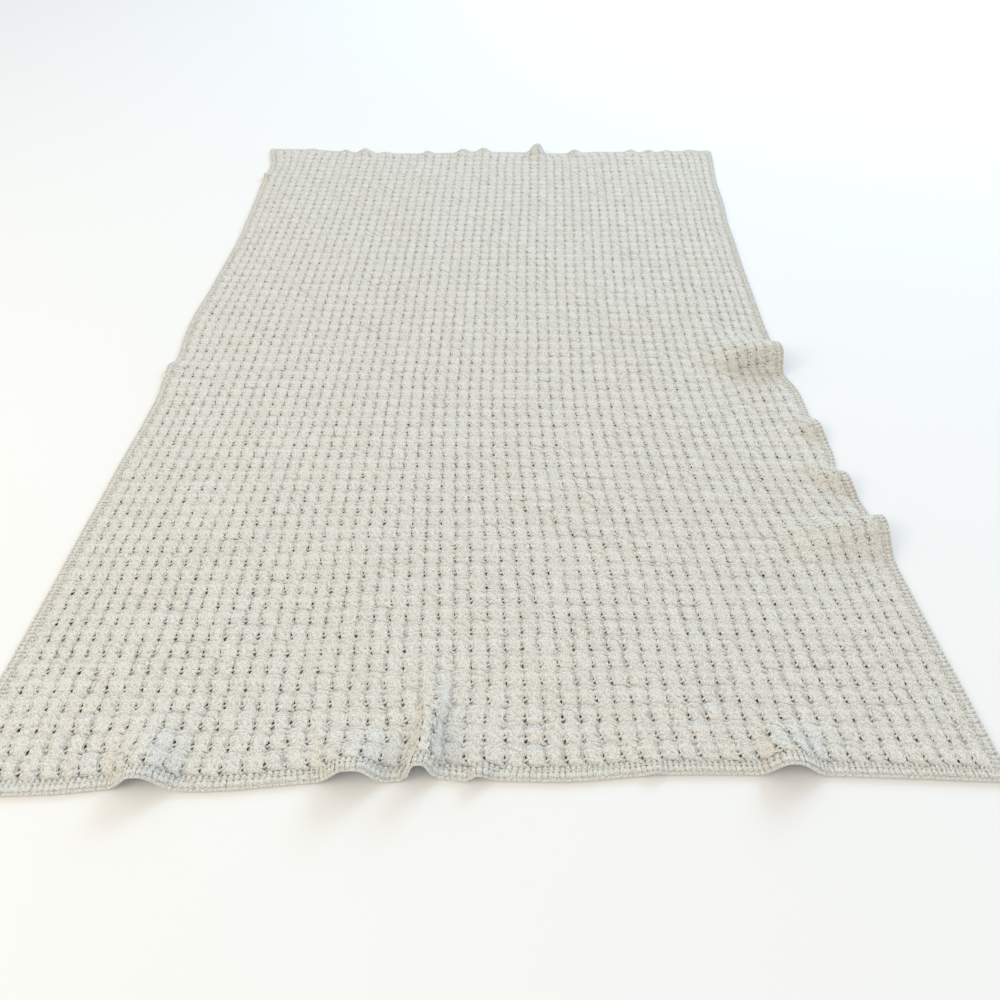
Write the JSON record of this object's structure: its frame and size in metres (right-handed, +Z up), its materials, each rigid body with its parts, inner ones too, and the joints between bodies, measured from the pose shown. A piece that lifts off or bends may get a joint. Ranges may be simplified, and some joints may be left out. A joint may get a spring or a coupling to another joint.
{
  "type": "crochet throw blanket",
  "caption": "Rectangular crochet throw in shell stitch with a worked edging, spread flat with a few pulled-up folds at its edges.",
  "frame": {"origin": "middle of the laid throw's box, on the surface it lies on", "axes": "+X across the throw's width, +Y along its length, +Z up"},
  "size_m": [1.2704, 1.8976, 0.0528],
  "materials": {
    "panel_yarn": "matte",
    "edging_yarn": "matte"
  },
  "bodies": {
    "root": {"panel": "panel_yarn", "edging": "edging_yarn"}
  },
  "joints": []
}
